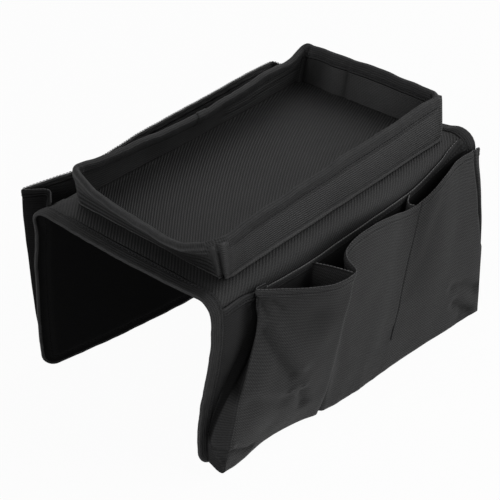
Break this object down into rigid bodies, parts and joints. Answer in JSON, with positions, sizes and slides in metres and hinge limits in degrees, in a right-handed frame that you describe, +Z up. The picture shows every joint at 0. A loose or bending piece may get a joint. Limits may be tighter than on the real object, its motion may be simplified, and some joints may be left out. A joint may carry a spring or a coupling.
{
  "type": "sofa armrest organizer",
  "caption": "Black fabric caddy that saddles a sofa armrest, with a shallow rimmed tray on top and a pocketed, board-stiffened flap hanging on each side.",
  "frame": {"origin": "middle of the saddle's flat underside, the face that rests on the armrest", "axes": "+Z up, +Y along the armrest towards its rear end, +X towards the flap with three pockets"},
  "size_m": [0.2596, 0.3218, 0.2103],
  "materials": {
    "oxford": "matt black coarse oxford weave",
    "lining": "matt black smooth non-woven lining",
    "binding": "matt black ribbed binding tape",
    "stiffener": "plain grey polypropylene sheet, hidden in the fabric"
  },
  "bodies": {
    "saddle": {"top_cover": "oxford", "top_board": "stiffener", "top_lining": "lining", "top_binding_front": "binding", "top_binding_rear": "binding", "tray_floor_board": "stiffener", "tray_floor_cover": "oxford", "tray_base_piping": "binding", "tray_rim_binding": "binding", "tray_front_wall": "oxford", "tray_right_wall": "oxford", "tray_rear_wall": "oxford", "tray_left_wall": "oxford", "tray_front_wall_board": "stiffener", "tray_right_wall_board": "stiffener", "tray_rear_wall_board": "stiffener", "tray_left_wall_board": "stiffener", "tray_corner_seam_front_left": "oxford", "tray_corner_seam_front_right": "oxford", "tray_corner_seam_rear_right": "oxford", "tray_corner_seam_rear_left": "oxford", "right_fold_cover": "oxford", "right_fold_lining": "lining", "right_fold_binding_front": "binding", "right_fold_binding_rear": "binding", "left_fold_cover": "oxford", "left_fold_lining": "lining", "left_fold_binding_front": "binding", "left_fold_binding_rear": "binding"},
    "right_flap": {"right_flap_cover": "oxford", "right_flap_board": "stiffener", "right_flap_lining": "lining", "right_flap_binding": "binding", "right_pocket_backing": "oxford", "right_pocket_front": "oxford", "right_pocket_gusset_front": "oxford", "right_pocket_gusset_rear": "oxford", "right_pocket_divider_front": "oxford", "right_pocket_divider_rear": "oxford", "right_pocket_base": "oxford"},
    "left_flap": {"left_flap_cover": "oxford", "left_flap_board": "stiffener", "left_flap_lining": "lining", "left_flap_binding": "binding", "left_pocket_front": "oxford", "left_pocket_gusset_front": "oxford", "left_pocket_gusset_rear": "oxford", "left_pocket_base": "oxford"}
  },
  "joints": [
    {"name": "right_flap_hinge", "type": "hinge", "parent": "saddle", "child": "right_flap", "pos_m": [0.093, 0, 0.0016], "axis": [0, -1, 0], "range_deg": [-28, 90], "deforming": ["right_fold_cover", "right_fold_lining", "right_fold_binding_front", "right_fold_binding_rear"]},
    {"name": "left_flap_hinge", "type": "hinge", "parent": "saddle", "child": "left_flap", "pos_m": [-0.093, 0, 0.0016], "axis": [0, 1, 0], "range_deg": [-28, 90], "deforming": ["left_fold_cover", "left_fold_lining", "left_fold_binding_front", "left_fold_binding_rear"]}
  ]
}
